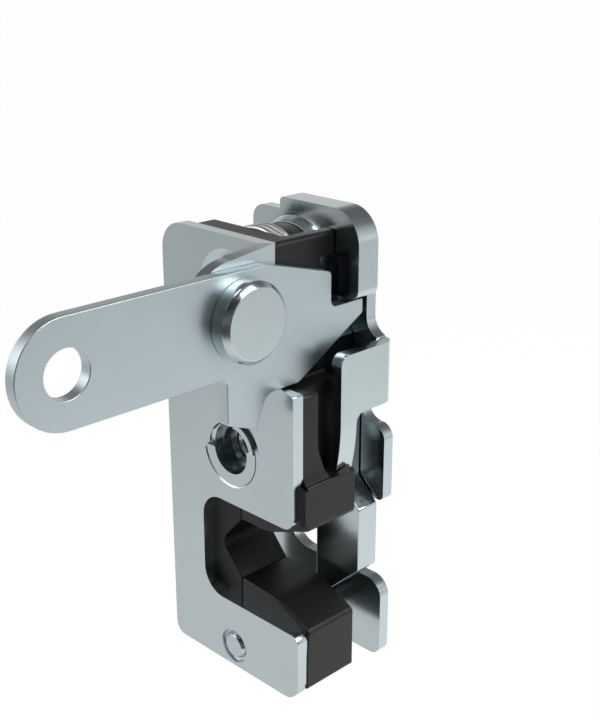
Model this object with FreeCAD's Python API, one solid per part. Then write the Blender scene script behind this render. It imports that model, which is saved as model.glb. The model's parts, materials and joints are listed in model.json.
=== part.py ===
import FreeCAD, Part
import math
import os

# Rotary latch, drawn closed. Millimetres, +Z up.
# It is drawn from the rotor's axis at the front plate's outer face: X runs along the plates
# towards the mouth, Y from the front plate to the back plate, Z up the plates. main() moves
# it forward by half its depth, so that the row's origin lies in the middle of the rotor's thread.

Vector = FreeCAD.Vector

# Plates and the stack between them
SHEET = 2.0                    # thickness of both plates and of the release lever
PIVOT_SPACING = 26.0           # rotor axis to pawl axis, both mounting bushings
STACK = 18.6                   # front plate's outer face to back plate's inner face
RUN_GAP = 0.05                 # radial clearance of each running fit
SEAT_GAP = 0.1                 # side clearance of a piece that turns between two others
BACK_FACE = STACK + SHEET
PLATE_TOP = PIVOT_SPACING + 8.0
PLATE_BOTTOM = -38.1
PLATE_LEFT = -14.7
PLATE_CORNER = 2.0

# Front plate
FRONT_RIGHT = 13.8             # right edge beside the rotor bushing
FRONT_LEG_RIGHT = 14.75        # right edge of the leg below the mouth
FRONT_LEG_CORNER = 3.0
FRONT_TOP_CORNER = 4.5
SHOULDER = 12.7                # height of the shoulder below the lever's flange
SLOT_LEFT = -6.8
SLOT_BOTTOM = -26.5
SLOT_TOP = -8.8
SLOT_CORNER = 4.2
RECESS_RADIUS = 5.9            # countersink that takes each bushing's staked rim
RECESS_DEPTH = 0.9
RELIEF_RADIUS = 6.8            # opening beside the part of the rim that isn't staked
RELIEF_LOW = 1.6
PIN_RECESS_DEPTH = 0.6         # flat recess round the lower rivet's end
FLANGE_FACE = 8.5              # outer face of the flange that carries the lever
FLANGE_BEND = 1.0              # inner radius of the flange's bend
FLANGE_LOBE = 8.0              # the flange's rounding about the rivet

# Back plate
BACK_TOP = PLATE_TOP - 0.3
BACK_LEFT = -14.4
BACK_RIGHT = 14.95
BACK_NECK = 10.75              # right edge beside the pawl
BACK_WAIST = 9.9               # right edge between the tab and the ear
WAIST_FILLET = 2.8
EAR_TOP = 2.85
EAR_BOTTOM = -9.7
EAR_CORNER = 2.2
BACK_SLOT_LEFT = -5.9
BACK_SLOT_BOTTOM = -24.3
TAB_FACE = BACK_RIGHT          # outer face of the tab bent forward
TAB_BOTTOM = 7.05
TAB_TOP = 16.85
TAB_FRONT = 8.75
TAB_BEND = 0.1                 # inner radius of the tab's bend
TAB_CORNER = 1.6
TAB_FILLET = 3.2               # between the plate's neck and the tab
LEG_REAR = 12.2
LEG_TIP = -3.2
LEG_INSET = 1.3                # how far the leg's tip leans in
LEG_CURVE = 34.0               # radius of the leg's lean
LEG_FILLET = 1.5

# Housing and bumper
HOUSING_DEPTH = 10.0
HOUSING_LEFT = -14.2
HOUSING_RIGHT = 14.95
HOUSING_BOTTOM = -36.5
HOUSING_SHOULDER = SHOULDER - 0.4
HOUSING_TOP = PLATE_TOP - 0.2
HOUSING_TOP_RIGHT = FLANGE_FACE - 0.3
HOUSING_TOP_LEFT = -9.5
HOUSING_SLOPE = 6.0            # drop of the housing's left shoulder
FRONT_WALL = 3.8               # wall between the front plate and the pawl's spring
BLOCK_TOP = -1.7
BLOCK_WRAP = 1.2               # how far the block reaches forward beside the plate
BLOCK_TOOTH = 0.6              # small tooth on the lip outside the leg
JAW_SEAM = 0.15                # seam between bumper and housing
JAW_TOP = -12.4
JAW_BOTTOM = -22.75
JAW_ROUND = 8.0
BUMPER_VERTEX = -4.9
BUMPER_LEFT = -11.0
BUMPER_CORNER = 2.0
BUMPER_MARGIN = 1.5            # bumper behind the front plate's slot edge
SCOOP_FRONT = 5.1
SCOOP_KNEE = 3.05              # height at which its front edge turns back
SCOOP_LOW = 7.3                # depth at which it is deepest
SCOOP_FLOOR = TAB_FACE - SHEET - LEG_INSET - SEAT_GAP
ARM_WIDTH = 2.2                # arm over the pawl's spring
ARM_HEIGHT = 3.8
WELL_LEFT = -10.5
WELL_LEFT_TOP = PIVOT_SPACING - 4.0   # height of the low wall left of the pawl's spring

# Rotor
ROTOR_THICK = 4.2
HUB_RADIUS = 9.2
SHOULDER_OUT = 10.0            # outer edge of the rotor beside its hub
SHOULDER_HIGH = 4.2
SHOULDER_LOW = -6.5
FINGER_OUT = 13.9
FINGER_IN = 4.7
FINGER_TOP = -10.1             # top of the finger's outer edge
FINGER_LOW = -20.8             # bottom of the finger's outer edge
FINGER_TIP = -27.4
PRONG_IN = -4.2
PRONG_OUT = -9.4
PRONG_TIP = -19.4
MOUTH_END = -12.55
TOOTH = (4.3, 9.3)             # corner of the tooth that the pawl holds
TOOTH_BACK = (7.2, 7.7)
TOOTH_WIDTH = 2.0

# Pawl
PAWL_HUB = 9.5
PAWL_TOP = PLATE_TOP + 3.0
PAWL_LEFT = -3.5
PAWL_RIGHT = 13.0
PAWL_TOP_CORNER = 5.2
PAWL_HEAD_BOTTOM = PIVOT_SPACING - 2.2
PAWL_NECK = FLANGE_FACE - 1.5  # right edge of the arm below the head, beside the lever's nose
PAWL_NECK_LOW = PIVOT_SPACING - 7.5   # where the neck ends and the arm widens
PAWL_HEEL = 8.0                # right edge of the arm at its foot
BOSS_FRONT_RADIUS = 7.85
BOSS_REAR_RADIUS = 9.0
BOSS_HEIGHT = 1.7
BOSS_FLAT = FLANGE_FACE - 1.0  # flat on the boss that clears the lever's nose
CATCH_GAP = 0.6                # over-travel between tooth and pawl
CATCH_DEPTH = 0.8              # how far the pawl reaches over the tooth

# Release lever and its rivet; pairs are Y and Z
LEVER_PIVOT = (-6.25, PIVOT_SPACING - 0.95)
HANDLE_CENTRE = (-34.9, PIVOT_SPACING - 1.4)
HANDLE_HALF = 7.43
CABLE_HOLE_RADIUS = 3.35
LEVER_BEND_OUT = (-12.0, 20.0)        # depth and radius of the top edge's first turn
LEVER_BEND_IN = (-1.6, 4.0)           # depth and radius of its second turn
NOTCH_SIDE = 11.12
NOTCH_TOP = PIVOT_SPACING + 2.47
NOTCH_FLOOR = PIVOT_SPACING - 3.0
NOSE_END = 17.95
NOSE_BOTTOM = PIVOT_SPACING - 5.2
LEVER_FOOT_REAR = 4.4
LEVER_FOOT_FRONT = -1.97
LEVER_TOE = (-4.1, 8.1)
LEVER_HEEL = (-9.4, 10.15)
LEVER_LIFT = 0.3               # lever's lower edge above the front plate's shoulder
RIVET_RADIUS = 3.2
RIVET_HEAD_RADIUS = 5.9
RIVET_HEAD_HEIGHT = 3.0
RIVET_HEAD_CHAMFER = 0.8
RIVET_TAIL = 1.4               # flare that closes the rivet behind the flange

# Bushings, lower rivet, washers and springs
BUSHING_RADIUS = 5.2
BUSHING_NECK = 4.5             # neck in the plates' holes
RIM_SINK = 0.1                 # staked part of the rim, below the front plate's face
RIM_CLEARANCE = 0.15           # between the rim and its countersink
NECK_SINK = 0.6                # part of the rim that isn't staked
STAKE_RIGHT = 1.0              # height at which the staked part ends on the right
STAKE_LEFT = -0.3              # and on the left, where a notch opens the rim
NOTCH_DEPTH = 1.9
THREAD_RADIUS = 2.5            # minor radius of the M6 thread
MOUTH_RADIUS = 3.65            # counterbore at each end of a bushing
MOUTH_DEPTH = 4.0
LOWER_RIVET_Z = -34.5
LOWER_RIVET_RADIUS = 1.85
LOWER_RIVET_FOOT = 2.4         # the front end's radius at the bottom of its recess
LOWER_RIVET_HEAD = 2.9
LOWER_RIVET_PROUD = 0.5        # rear head
LOWER_RIVET_SHOW = 0.15        # front end, proud of the plate
LOWER_RIVET_SHOULDER = 3.4
ROTOR_WASHER_RADIUS = 8.6
PAWL_WASHER_RADIUS = 7.7
PAWL_WASHER_THICK = 2.9
WIRE = 1.0
COIL_PITCH = 1.04
COIL_TURNS = 2.5
COIL_STEPS = 16                # straight lengths that make up a turn
WIRE_SIDES = 8
PAWL_COIL_RADIUS = FLANGE_FACE - 0.2   # outer radius of the pawl's spring, beside the lever
ROTOR_COIL_RADIUS = 6.4        # outer radius of the rotor's spring
COIL_CLEARANCE = 0.2           # between a spring and the wall round it


def on_xz(y):
    """Maps an outline's pair to a point on the plane at depth y."""
    return lambda u, v: Vector(u, y, v)


def on_yz(x):
    """Maps an outline's pair to a point on the plane at x."""
    return lambda u, v: Vector(x, u, v)


def on_xy(z):
    """Maps an outline's pair to a point on the plane at height z."""
    return lambda u, v: Vector(u, v, z)


def rounded_wire(corners, place):
    """Joins corners (u, v, radius) into a closed wire with an arc at each rounded corner."""
    points = [Vector(u, v, 0) for u, v, _ in corners]
    count = len(points)
    starts, mids, ends = [], [], []
    for i, (u, v, radius) in enumerate(corners):
        here = points[i]
        back = (points[i - 1] - here).normalize()
        ahead = (points[(i + 1) % count] - here).normalize()
        half = back.getAngle(ahead) / 2
        if radius <= 0 or abs(half - math.pi / 2) < 1e-4:
            starts.append(here)
            mids.append(None)
            ends.append(here)
            continue
        reach = radius / math.tan(half)
        bisector = (back + ahead).normalize()
        centre = here + bisector * (radius / math.sin(half))
        starts.append(here + back * reach)
        mids.append(centre - bisector * radius)
        ends.append(here + ahead * reach)
    edges = []
    for i in range(count):
        if mids[i] is not None:
            arc = [place(p.x, p.y) for p in (starts[i], mids[i], ends[i])]
            edges.append(Part.Arc(*arc).toShape())
        leave = ends[i]
        arrive = starts[(i + 1) % count]
        if leave.distanceToPoint(arrive) > 1e-6:
            edges.append(Part.LineSegment(place(leave.x, leave.y), place(arrive.x, arrive.y)).toShape())
    return Part.Wire(edges)


def prism_y(corners, front, back):
    """Sheet or block with an outline seen from the front, from depth front to depth back."""
    return Part.Face(rounded_wire(corners, on_xz(front))).extrude(Vector(0, back - front, 0))


def prism_x(corners, left, right):
    """Sheet or block with an outline in Y and Z, from x left to x right."""
    return Part.Face(rounded_wire(corners, on_yz(left))).extrude(Vector(right - left, 0, 0))


def prism_z(corners, low, high):
    """Block with an outline in X and Y, from z low to z high."""
    return Part.Face(rounded_wire(corners, on_xy(low))).extrude(Vector(0, 0, high - low))


def disc_y(x, z, radius, front, back):
    """Cylinder along Y."""
    return Part.makeCylinder(radius, back - front, Vector(x, front, z), Vector(0, 1, 0))


def disc_x(y, z, radius, left, right):
    """Cylinder along X."""
    return Part.makeCylinder(radius, right - left, Vector(left, y, z), Vector(1, 0, 0))


def cone_y(x, z, radius_front, radius_back, front, back):
    """Cone along Y."""
    return Part.makeCone(radius_front, radius_back, back - front, Vector(x, front, z), Vector(0, 1, 0))


def joined(shape, *others):
    """Fuses pieces of one solid and cleans the seams."""
    return shape.fuse(list(others)).removeSplitter()


def quarter_bend(x, y, inner, outer, low, high):
    """Quarter ring of a sheet's bend about an upright line, in the quadrant of +X and +Y."""
    centre = Vector(x, y, low)
    height = high - low
    ring = Part.makeCylinder(outer, height, centre).cut(Part.makeCylinder(inner, height, centre))
    return ring.common(Part.makeBox(outer, outer, height, centre))


def front_plate():
    bend_start = FLANGE_FACE - SHEET - FLANGE_BEND
    flat = prism_y([
        (PLATE_LEFT, PLATE_BOTTOM, PLATE_CORNER),
        (FRONT_LEG_RIGHT, PLATE_BOTTOM, FRONT_LEG_CORNER),
        (FRONT_LEG_RIGHT, SLOT_BOTTOM, 1.3),
        (SLOT_LEFT, SLOT_BOTTOM, SLOT_CORNER),
        (SLOT_LEFT, SLOT_TOP, SLOT_CORNER),
        (FRONT_RIGHT, SLOT_TOP, 2.2),
        (FRONT_RIGHT, SHOULDER, 0.3),
        (bend_start, SHOULDER, 0),
        (bend_start, PLATE_TOP, 0),
        (PLATE_LEFT, PLATE_TOP, FRONT_TOP_CORNER)], 0, SHEET)
    bend = quarter_bend(bend_start, -FLANGE_BEND, FLANGE_BEND, FLANGE_BEND + SHEET, SHOULDER, PLATE_TOP)
    plate = joined(flat, bend, lever_flange())
    for z in (0, PIVOT_SPACING):
        plate = plate.cut(disc_y(0, z, BUSHING_NECK, -1, SHEET + 1))
        plate = plate.cut(cone_y(0, z, RECESS_RADIUS, BUSHING_NECK, 0, RECESS_DEPTH))
        plate = plate.cut(rim_relief(z))
    plate = plate.cut(disc_y(0, LOWER_RIVET_Z, LOWER_RIVET_HEAD, -1, PIN_RECESS_DEPTH))
    return plate.cut(disc_y(0, LOWER_RIVET_Z, LOWER_RIVET_RADIUS, -1, SHEET + 1))


def rim_relief(z):
    """Opening in the front plate at the upper right of a bushing."""
    low = Vector(0, -1, z + RELIEF_LOW)
    corner = Part.makeBox(RELIEF_RADIUS, SHEET + 2, RELIEF_RADIUS, low)
    return disc_y(0, z, RELIEF_RADIUS, -1, SHEET + 1).common(corner)


def lever_flange():
    """Lobe about the lever's rivet, joined to the bend by two straight edges."""
    y, z = LEVER_PIVOT
    root = -FLANGE_BEND
    lobe = disc_x(y, z, FLANGE_LOBE, FLANGE_FACE - SHEET, FLANGE_FACE)
    low = math.radians(35)
    web = prism_x([
        (root, PLATE_TOP, 0),
        (y, z + FLANGE_LOBE, 0),
        (y, z, 0),
        (y - FLANGE_LOBE * math.cos(low), z - FLANGE_LOBE * math.sin(low), 0),
        (root - 4.0, SHOULDER + 1.5, 3.0),
        (root, SHOULDER, 0)], FLANGE_FACE - SHEET, FLANGE_FACE)
    return joined(lobe, web).cut(disc_x(y, z, RIVET_RADIUS, 0, FLANGE_FACE + 1))


def back_plate():
    bend_x = TAB_FACE - SHEET - TAB_BEND
    blank = BACK_NECK + TAB_FILLET + 0.1
    flat = prism_y([
        (BACK_LEFT, PLATE_BOTTOM, PLATE_CORNER),
        (BACK_RIGHT, PLATE_BOTTOM, PLATE_CORNER),
        (BACK_RIGHT, BACK_SLOT_BOTTOM, 3.0),
        (BACK_SLOT_LEFT, BACK_SLOT_BOTTOM, SLOT_CORNER),
        (BACK_SLOT_LEFT, EAR_BOTTOM, SLOT_CORNER),
        (BACK_RIGHT, EAR_BOTTOM, 1.0),
        (BACK_RIGHT, EAR_TOP, EAR_CORNER),
        (BACK_WAIST, EAR_TOP, WAIST_FILLET),
        (BACK_WAIST, TAB_BOTTOM, 0.8),
        (blank, TAB_BOTTOM, 0),
        (blank, TAB_TOP, 0),
        (BACK_NECK, TAB_TOP, TAB_FILLET),
        (BACK_NECK, BACK_TOP, 2.5),
        (BACK_LEFT, BACK_TOP, 2.5)], STACK, BACK_FACE)
    beyond = Vector(bend_x, STACK - 1, TAB_BOTTOM - 0.1)
    flat = flat.cut(Part.makeBox(SHEET + 1, SHEET + 2, TAB_TOP - TAB_BOTTOM + TAB_FILLET, beyond))
    bend = quarter_bend(bend_x, STACK - TAB_BEND, TAB_BEND, TAB_BEND + SHEET, TAB_BOTTOM, TAB_TOP)
    plate = joined(flat, bend, tab(), tab_leg())
    for z in (0, PIVOT_SPACING):
        plate = plate.cut(disc_y(0, z, BUSHING_NECK, STACK - 1, BACK_FACE + 1))
    return plate.cut(disc_y(0, LOWER_RIVET_Z, LOWER_RIVET_RADIUS, STACK - 1, BACK_FACE + 1))


def tab():
    """Flat part of the tab, in front of its bend."""
    return prism_x([
        (TAB_FRONT, TAB_BOTTOM, 0),
        (STACK - TAB_BEND, TAB_BOTTOM, 0),
        (STACK - TAB_BEND, TAB_TOP, 0),
        (TAB_FRONT, TAB_TOP, TAB_CORNER)], TAB_FACE - SHEET, TAB_FACE)


def tab_leg():
    """Leg below the tab, leaning inwards so that its tip seats in the housing."""
    knee = (TAB_BOTTOM + LEG_TIP) / 2
    root = LEG_REAR + LEG_FILLET + 0.1
    side = prism_y([
        (TAB_FACE - SHEET, TAB_BOTTOM, 0),
        (TAB_FACE - SHEET, knee, LEG_CURVE - SHEET),
        (TAB_FACE - SHEET - LEG_INSET, LEG_TIP, 0),
        (TAB_FACE - LEG_INSET, LEG_TIP, 0.5),
        (TAB_FACE, knee, LEG_CURVE),
        (TAB_FACE, TAB_BOTTOM, 0)], TAB_FRONT, root)
    taper = prism_x([
        (TAB_FRONT, TAB_BOTTOM + 1, 0),
        (TAB_FRONT, LEG_TIP, 0.8),
        (LEG_REAR, LEG_TIP, 0.8),
        (LEG_REAR, TAB_BOTTOM, LEG_FILLET),
        (root, TAB_BOTTOM, 0),
        (root, TAB_BOTTOM + 1, 0)], 0, TAB_FACE + 1)
    return side.common(taper)


def bumper():
    """Soft insert behind the closed end of the mouth, with a V for the striker."""
    top = SLOT_TOP + BUMPER_MARGIN
    bottom = SLOT_BOTTOM - BUMPER_MARGIN
    return prism_y([
        (BUMPER_LEFT, bottom, BUMPER_CORNER),
        (JAW_SEAM, bottom, 0),
        (JAW_SEAM, JAW_BOTTOM, 0),
        (BUMPER_VERTEX, (JAW_BOTTOM + JAW_TOP) / 2, 2.0),
        (JAW_SEAM, JAW_TOP, 0),
        (JAW_SEAM, top, 0),
        (BUMPER_LEFT, top, BUMPER_CORNER)], SHEET, SHEET + HOUSING_DEPTH)


def housing():
    rear = SHEET + HOUSING_DEPTH
    pocket_top = SLOT_TOP + BUMPER_MARGIN
    pocket_bottom = SLOT_BOTTOM - BUMPER_MARGIN
    body = prism_y([
        (HOUSING_LEFT, HOUSING_BOTTOM, 1.5),
        (HOUSING_RIGHT, HOUSING_BOTTOM, 0.5),
        (HOUSING_RIGHT, SLOT_BOTTOM + 0.3, 1.0),
        (JAW_ROUND, JAW_BOTTOM - 0.4, JAW_ROUND),
        (JAW_SEAM, JAW_BOTTOM, 0),
        (JAW_SEAM, pocket_bottom, 0),
        (BUMPER_LEFT, pocket_bottom, BUMPER_CORNER),
        (BUMPER_LEFT, pocket_top, BUMPER_CORNER),
        (JAW_SEAM, pocket_top, 0),
        (JAW_SEAM, JAW_TOP, 0),
        (JAW_ROUND - 2.0, JAW_TOP, JAW_ROUND - 2.0),
        (HOUSING_RIGHT, SLOT_TOP - 0.2, 1.0),
        (HOUSING_RIGHT, BLOCK_TOP, 0.5),
        (FRONT_RIGHT, BLOCK_TOP, 0),
        (FRONT_RIGHT, HOUSING_SHOULDER, 0.8),
        (HOUSING_TOP_RIGHT, HOUSING_SHOULDER, 0.5),
        (HOUSING_TOP_RIGHT, HOUSING_TOP, 0.8),
        (HOUSING_TOP_LEFT, HOUSING_TOP, 1.0),
        (HOUSING_LEFT, HOUSING_TOP - HOUSING_SLOPE, 2.0)], SHEET, rear)
    body = joined(body, block_wrap(), spring_arm(rear))
    body = body.cut(pawl_spring_well(rear))
    body = body.cut(rotor_spring_well(rear))
    body = body.cut(leg_scoop(rear))
    body = joined(body.cut(leg_pocket(rear)), lip_tooth())
    for z in (0, PIVOT_SPACING):
        body = body.cut(disc_y(0, z, BUSHING_RADIUS, 0, rear + 1))
    return body.cut(disc_y(0, LOWER_RIVET_Z, LOWER_RIVET_SHOULDER, 0, rear + 1))


def block_wrap():
    """Lip of the block that reaches forward beside the front plate."""
    return prism_z([
        (FRONT_RIGHT, SHEET, 0),
        (FRONT_RIGHT, SHEET - BLOCK_WRAP, 0),
        (HOUSING_RIGHT - 0.5, SHEET - BLOCK_WRAP, 0),
        (HOUSING_RIGHT, SHEET - BLOCK_WRAP + 0.6, 0),
        (HOUSING_RIGHT, SHEET, 0)], SLOT_TOP + 1.0, BLOCK_TOP - 0.5)


def spring_arm(rear):
    """Arm that runs back over the pawl's spring, up to the pawl's face."""
    left = HOUSING_TOP_RIGHT - ARM_WIDTH
    bottom = HOUSING_TOP - ARM_HEIGHT
    return prism_y([
        (left, bottom, 0),
        (HOUSING_TOP_RIGHT, bottom, 0),
        (HOUSING_TOP_RIGHT, HOUSING_TOP, 0.8),
        (left, HOUSING_TOP, 0.4)], rear - 1, rotor_front() - SEAT_GAP * 2)


def pawl_spring_well(rear):
    """Cavity round the pawl's spring, open upwards, to the left and to the rear."""
    front = SHEET + FRONT_WALL
    beyond = HOUSING_TOP + 5
    arm_left = HOUSING_TOP_RIGHT - ARM_WIDTH
    coil = PAWL_COIL_RADIUS + COIL_CLEARANCE
    under_arm = PIVOT_SPACING + coil - 1.5
    corner = prism_y([
        (WELL_LEFT, PIVOT_SPACING, 0),
        (WELL_LEFT, PIVOT_SPACING - coil, 4.0),
        (0, PIVOT_SPACING - coil, 0),
        (0, PIVOT_SPACING, 0)], front, rear + 1)
    above = prism_y([
        (HOUSING_LEFT - 1, WELL_LEFT_TOP, 0),
        (0, WELL_LEFT_TOP, 0),
        (0, under_arm, 0),
        (arm_left, under_arm, 0),
        (arm_left, beyond, 0),
        (HOUSING_LEFT - 1, beyond, 0)], front, rear + 1)
    round_hole = disc_y(0, PIVOT_SPACING, coil, front, rear + 1)
    boss_hole = disc_y(0, PIVOT_SPACING, BOSS_REAR_RADIUS + COIL_CLEARANCE, rear - 1.0, STACK)
    return joined(corner, above, round_hole, boss_hole)


def rotor_spring_well(rear):
    """Round cavity for the rotor's spring, closed by the washer behind it."""
    depth = COIL_TURNS * COIL_PITCH + WIRE + SEAT_GAP + COIL_CLEARANCE
    return disc_y(0, 0, ROTOR_COIL_RADIUS + COIL_CLEARANCE, rear - depth, rear + 1)


def leg_scoop(rear):
    """Recess in the right side for the back plate's leg, with a pointed bottom."""
    return prism_x([
        (SCOOP_FRONT, HOUSING_SHOULDER + 1, 0),
        (SCOOP_FRONT, SCOOP_KNEE, 6.0),
        (SCOOP_LOW, BLOCK_TOP - 0.7, 0.5),
        (TAB_FRONT - SEAT_GAP, BLOCK_TOP, 0),
        (rear + 1, BLOCK_TOP, 0),
        (rear + 1, HOUSING_SHOULDER + 1, 0)], SCOOP_FLOOR, FRONT_RIGHT + 1)


def leg_outer(z):
    """X of the leg's outer face on its straight end."""
    knee = (TAB_BOTTOM + LEG_TIP) / 2
    return TAB_FACE - LEG_INSET * (knee - z) / (knee - LEG_TIP)


def leg_pocket(rear):
    """Slot in the block that takes the leg's tip."""
    outer = leg_outer(BLOCK_TOP) + SEAT_GAP * 2
    size = (outer - SCOOP_FLOOR, rear, BLOCK_TOP - LEG_TIP + 1 + SEAT_GAP)
    return Part.makeBox(*size, Vector(SCOOP_FLOOR, TAB_FRONT - SEAT_GAP, LEG_TIP - SEAT_GAP))


def lip_tooth():
    """Small tooth on top of the lip that stands outside the leg."""
    low = BLOCK_TOP - 0.1
    return prism_x([
        (TAB_FRONT, low, 0),
        (TAB_FRONT + 1.8, low, 0),
        (TAB_FRONT + 2.3, BLOCK_TOP + BLOCK_TOOTH, 0),
        (TAB_FRONT, BLOCK_TOP + 0.1, 0)], leg_outer(BLOCK_TOP) + SEAT_GAP * 2, HOUSING_RIGHT)


def rotor_front():
    """Front face of the rotor and of the pawl, which turn side by side."""
    return STACK - SEAT_GAP * 2 - ROTOR_THICK


def tooth_slope():
    """Slope of the tooth's face, which is square to the line to the pawl's axis."""
    return TOOTH[0] / (PIVOT_SPACING - TOOTH[1])


def rotor():
    front = rotor_front()
    back = front + ROTOR_THICK
    half = (FINGER_IN - PRONG_IN) / 2
    middle = (FINGER_IN + PRONG_IN) / 2
    tooth_x, tooth_z = TOOTH
    inner_x = tooth_x - TOOTH_WIDTH
    hub = disc_y(0, 0, HUB_RADIUS, front, back)
    finger = prism_y([
        (PRONG_IN, -2.0, 0),
        (inner_x, tooth_z - TOOTH_WIDTH * tooth_slope(), 0),
        (tooth_x, tooth_z, 0.2),
        (*TOOTH_BACK, 2.0),
        (SHOULDER_OUT, SHOULDER_HIGH, 1.5),
        (SHOULDER_OUT, SHOULDER_LOW, 1.0),
        (FINGER_OUT, FINGER_TOP, 0.6),
        (FINGER_OUT, FINGER_LOW, 0.8),
        (FINGER_IN + 2.5, FINGER_TIP + 0.4, 1.0),
        (FINGER_IN - 1.0, FINGER_TIP, 0),
        (PRONG_IN, MOUTH_END, 0)], front, back)
    prong = prism_y([
        (-HUB_RADIUS, 0, 0),
        (PRONG_OUT, PRONG_TIP + 1.0, 3.0),
        (PRONG_IN + 2.0, PRONG_TIP, 0),
        (PRONG_IN + 2.0, 0, 0)], front, back)
    body = joined(hub, finger, prong)
    end_z = MOUTH_END - half
    body = body.cut(disc_y(middle, end_z, half, front - 1, back + 1))
    body = body.cut(prism_y([
        (PRONG_IN, end_z, 0),
        (PRONG_IN, FINGER_TIP - 5, 0),
        (FINGER_IN, FINGER_TIP - 5, 0),
        (FINGER_IN, end_z, 0)], front - 1, back + 1))
    return body.cut(disc_y(0, 0, BUSHING_RADIUS + RUN_GAP, front - 1, back + 1))


def pawl():
    front = rotor_front()
    back = front + ROTOR_THICK
    slope = tooth_slope()
    length = math.hypot(1, slope)
    along = (1 / length, slope / length)
    face_x = TOOTH[0] - CATCH_GAP * along[1]
    face_z = TOOTH[1] + CATCH_GAP * along[0]
    tip_x = face_x - CATCH_DEPTH * along[0]
    tip_z = face_z - CATCH_DEPTH * along[1]
    heel_z = face_z + (PAWL_HEEL - face_x) * slope
    lobe = disc_y(0, PIVOT_SPACING, PAWL_HUB, front, back)
    low = PIVOT_SPACING - PAWL_HUB - 1
    nose_room = Part.makeBox(PAWL_HUB, ROTOR_THICK, PAWL_HEAD_BOTTOM - low, Vector(PAWL_NECK, front, low))
    head = prism_y([
        (PAWL_LEFT, PAWL_TOP, 0.8),
        (PAWL_RIGHT, PAWL_TOP, PAWL_TOP_CORNER),
        (PAWL_RIGHT, PAWL_HEAD_BOTTOM, 1.5),
        (PAWL_NECK, PAWL_HEAD_BOTTOM, 0.5),
        (PAWL_NECK, PAWL_NECK_LOW, 0.6),
        (PAWL_HEEL, PAWL_NECK_LOW - 1.7, 0.6),
        (PAWL_HEEL, heel_z, 0.4),
        (tip_x, tip_z, 0.15),
        (tip_x - 0.2, tip_z + 1.8, 1.0),
        (PAWL_LEFT, PAWL_NECK_LOW - 0.5, 0)], front, back)
    reach = math.sqrt(PAWL_HUB ** 2 - PAWL_LEFT ** 2)
    armpit = prism_y([
        (PAWL_LEFT - 1.6, PIVOT_SPACING + reach - 2.5, 0),
        (PAWL_LEFT + 0.5, PIVOT_SPACING + reach - 2.5, 0),
        (PAWL_LEFT + 0.5, PIVOT_SPACING + reach + 0.9, 0),
        (PAWL_LEFT, PIVOT_SPACING + reach + 0.9, 0),
        (PAWL_LEFT, PIVOT_SPACING + reach - 0.5, 1.2)], front, back)
    boss = cone_y(0, PIVOT_SPACING, BOSS_FRONT_RADIUS, BOSS_REAR_RADIUS, front - BOSS_HEIGHT, front)
    beyond_flat = Vector(BOSS_FLAT, front - BOSS_HEIGHT, low)
    boss = boss.cut(Part.makeBox(PAWL_HUB, BOSS_HEIGHT, PAWL_HUB * 1.4, beyond_flat))
    body = joined(lobe.cut(nose_room), head, armpit, boss)
    return body.cut(disc_y(0, PIVOT_SPACING, BUSHING_RADIUS + RUN_GAP, front - BOSS_HEIGHT - 1, back + 1))


def release_lever():
    left = FLANGE_FACE + RUN_GAP
    right = left + SHEET
    y, z = LEVER_PIVOT
    end_y, end_z = HANDLE_CENTRE
    top = end_z + HANDLE_HALF
    bottom = end_z - HANDLE_HALF
    body = prism_x([
        (end_y, top, 0),
        (LEVER_BEND_OUT[0], top, LEVER_BEND_OUT[1]),
        (LEVER_BEND_IN[0], top - 0.1, LEVER_BEND_IN[1]),
        (NOTCH_SIDE, NOTCH_TOP, 0.9),
        (NOTCH_SIDE, NOTCH_FLOOR, 1.1),
        (NOSE_END, NOTCH_FLOOR, 0.3),
        (NOSE_END, NOSE_BOTTOM, 0.4),
        (LEVER_FOOT_REAR, SHOULDER + LEVER_LIFT, 0.8),
        (LEVER_FOOT_FRONT, SHOULDER + LEVER_LIFT, 2.0),
        (*LEVER_TOE, 0.4),
        (*LEVER_HEEL, 0.6),
        (LEVER_HEEL[0], bottom, 1.0),
        (end_y, bottom, 0)], left, right)
    body = joined(body, disc_x(end_y, end_z, HANDLE_HALF, left, right))
    body = body.cut(disc_x(end_y, end_z, CABLE_HOLE_RADIUS, left - 1, right + 1))
    return body.cut(disc_x(y, z, RIVET_RADIUS + RUN_GAP, left - 1, right + 1))


def lever_rivet():
    y, z = LEVER_PIVOT
    seat = FLANGE_FACE + SHEET + RUN_GAP * 2
    crown = seat + RIVET_HEAD_HEIGHT - RIVET_HEAD_CHAMFER
    flange_back = FLANGE_FACE - SHEET
    along = Vector(1, 0, 0)
    shank = disc_x(y, z, RIVET_RADIUS, flange_back, seat)
    head = disc_x(y, z, RIVET_HEAD_RADIUS, seat, crown)
    bevel = Part.makeCone(RIVET_HEAD_RADIUS, RIVET_HEAD_RADIUS - RIVET_HEAD_CHAMFER, RIVET_HEAD_CHAMFER,
                          Vector(crown, y, z), along)
    tail = Part.makeCone(RIVET_RADIUS, RIVET_RADIUS + RIVET_TAIL, RIVET_TAIL,
                         Vector(flange_back - RIVET_TAIL, y, z), along)
    return joined(shank, head, bevel, tail)


def bushing(z):
    """Threaded bushing staked into both plates; the thread is drawn at its minor radius."""
    body = disc_y(0, z, BUSHING_RADIUS, SHEET, STACK)
    neck = disc_y(0, z, BUSHING_NECK, NECK_SINK, BACK_FACE)
    body = joined(body, neck, staked_rim(z))
    body = body.cut(disc_y(0, z, THREAD_RADIUS, 0, BACK_FACE))
    body = body.cut(disc_y(0, z, MOUTH_RADIUS, 0, MOUTH_DEPTH))
    body = body.cut(disc_y(0, z, MOUTH_RADIUS, BACK_FACE - MOUTH_DEPTH, BACK_FACE))
    size = (BUSHING_RADIUS, NOTCH_DEPTH, BUSHING_RADIUS)
    return body.cut(Part.makeBox(*size, Vector(-BUSHING_RADIUS, 0, z + STAKE_LEFT)))


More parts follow.
